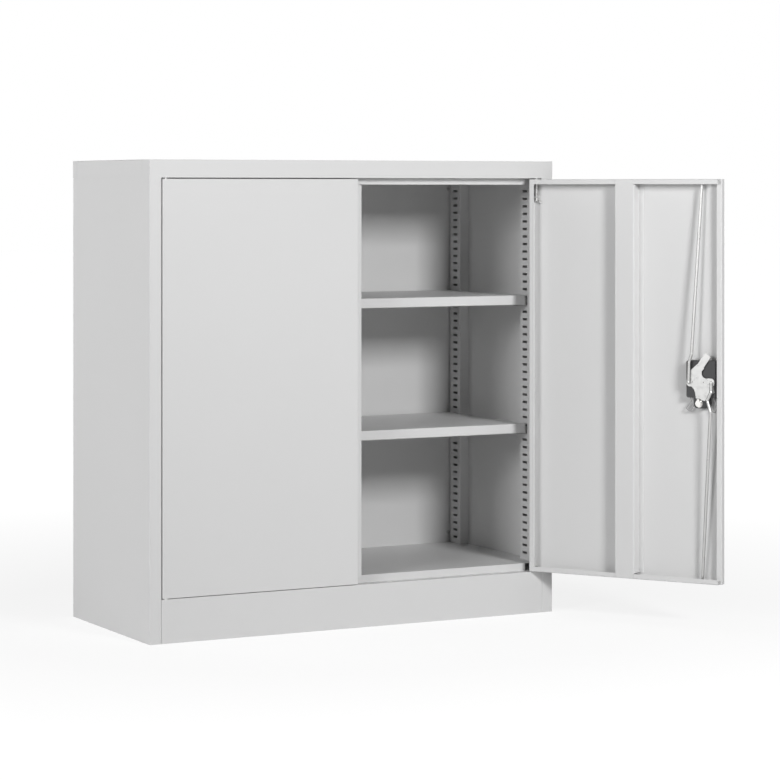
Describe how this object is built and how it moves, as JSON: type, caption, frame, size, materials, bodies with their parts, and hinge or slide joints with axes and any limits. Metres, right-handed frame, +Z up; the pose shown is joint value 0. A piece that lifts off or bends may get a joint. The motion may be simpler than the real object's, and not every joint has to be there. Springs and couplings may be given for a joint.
{
  "type": "tool cabinet",
  "caption": "Low folded-steel tool cabinet with rebated hinged doors, loose shelves and a three-point rod lock.",
  "frame": {"origin": "middle of the footprint of the carcass on the floor, in the plane of the plinth frame's bottom", "axes": "+X to the right as seen from the front, +Y from the doors to the back panel, +Z up"},
  "size_m": [1.0938, 0.7483, 0.93],
  "materials": {
    "painted_steel": "satin",
    "zinc_plated_steel": "satin",
    "nickel_plated_brass": "polished",
    "black_plastic": "matte",
    "white_nylon": "satin"
  },
  "bodies": {
    "carcass": {"top_panel": "painted_steel", "front_top_rail": "painted_steel", "rear_top_rail": "painted_steel", "left_side_panel": "painted_steel", "right_side_panel": "painted_steel", "back_panel": "painted_steel", "base_panel": "painted_steel", "plinth_frame": "painted_steel", "ledge_plug": "white_nylon", "front_left_upright": "painted_steel", "rear_left_upright": "painted_steel", "front_right_upright": "painted_steel", "rear_right_upright": "painted_steel", "upper_shelf_clips": "zinc_plated_steel", "lower_shelf_clips": "zinc_plated_steel", "back_panel_screws": "zinc_plated_steel", "left_lower_pin": "zinc_plated_steel", "right_lower_pin": "zinc_plated_steel", "left_door_washer": "white_nylon", "right_door_washer": "white_nylon"},
    "upper_shelf": {"upper_shelf": "painted_steel"},
    "lower_shelf": {"lower_shelf": "painted_steel"},
    "left_door": {"left_door_panel": "painted_steel", "left_door_stiffener": "painted_steel", "left_pin_bracket": "painted_steel", "left_pin_spring": "zinc_plated_steel"},
    "left_upper_pin": {"left_upper_pin": "zinc_plated_steel"},
    "right_door": {"right_door_panel": "painted_steel", "right_door_stiffener": "painted_steel", "right_pin_bracket": "painted_steel", "right_pin_spring": "zinc_plated_steel", "lock_housing": "black_plastic", "lock_back_plate": "zinc_plated_steel", "lock_plate_screws": "zinc_plated_steel", "key_cylinder": "nickel_plated_brass", "lock_wire_clips": "zinc_plated_steel"},
    "right_upper_pin": {"right_upper_pin": "zinc_plated_steel"},
    "lock_handle": {"lock_handle": "black_plastic", "lock_spindle": "zinc_plated_steel", "locking_cam": "zinc_plated_steel"},
    "upper_rod": {"upper_rod": "zinc_plated_steel"},
    "lower_rod": {"lower_rod": "zinc_plated_steel"},
    "key_plug": {"key_plug": "nickel_plated_brass", "key_plug_cam": "nickel_plated_brass"}
  },
  "joints": [
    {"name": "left_door_hinge", "type": "hinge", "parent": "carcass", "child": "left_door", "pos_m": [-0.415, -0.195, 0.48965], "axis": [0, 0, -1], "range_deg": [0, 127]},
    {"name": "right_door_hinge", "type": "hinge", "parent": "carcass", "child": "right_door", "pos_m": [0.415, -0.195, 0.48965], "axis": [0, 0, 1], "range_deg": [-123, 4]},
    {"name": "left_pin_slide", "type": "slide", "parent": "left_door", "child": "left_upper_pin", "axis": [0, 0, -1], "range_m": [0, 0.012], "stiffness_N_per_m": 600, "springref_m": -0.004, "deforming": ["left_pin_spring"]},
    {"name": "right_pin_slide", "type": "slide", "parent": "right_door", "child": "right_upper_pin", "axis": [0, 0, -1], "range_m": [0, 0.012], "stiffness_N_per_m": 600, "springref_m": -0.004, "deforming": ["right_pin_spring"]},
    {"name": "lock_handle_turn", "type": "hinge", "parent": "right_door", "child": "lock_handle", "pos_m": [0.60451, -0.51418, 0.48765], "axis": [0.8387, 0.5446, 0], "range_deg": [0, 90]},
    {"name": "upper_rod_pivot", "type": "hinge", "parent": "lock_handle", "child": "upper_rod", "pos_m": [0.59144, -0.49405, 0.48765], "axis": [0.8387, 0.5446, 0], "range_deg": [-94, 0]},
    {"name": "lower_rod_pivot", "type": "hinge", "parent": "lock_handle", "child": "lower_rod", "pos_m": [0.61758, -0.53431, 0.48765], "axis": [0.8387, 0.5446, 0], "range_deg": [-94, 0]},
    {"name": "key_turn", "type": "hinge", "parent": "right_door", "child": "key_plug", "pos_m": [0.61009, -0.50459, 0.44515], "axis": [0.8387, 0.5446, 0], "range_deg": [0, 90]},
    {"name": "upper_shelf_lift", "type": "slide", "parent": "carcass", "child": "upper_shelf", "axis": [0, 0, 1], "range_m": [0, 0.02]},
    {"name": "lower_shelf_lift", "type": "slide", "parent": "carcass", "child": "lower_shelf", "axis": [0, 0, 1], "range_m": [0, 0.02]}
  ],
  "couplings": [
    {"joint": "upper_rod_pivot", "follows": "lock_handle_turn", "ratio": -1.0379},
    {"joint": "lower_rod_pivot", "follows": "lock_handle_turn", "ratio": -1.0379}
  ]
}
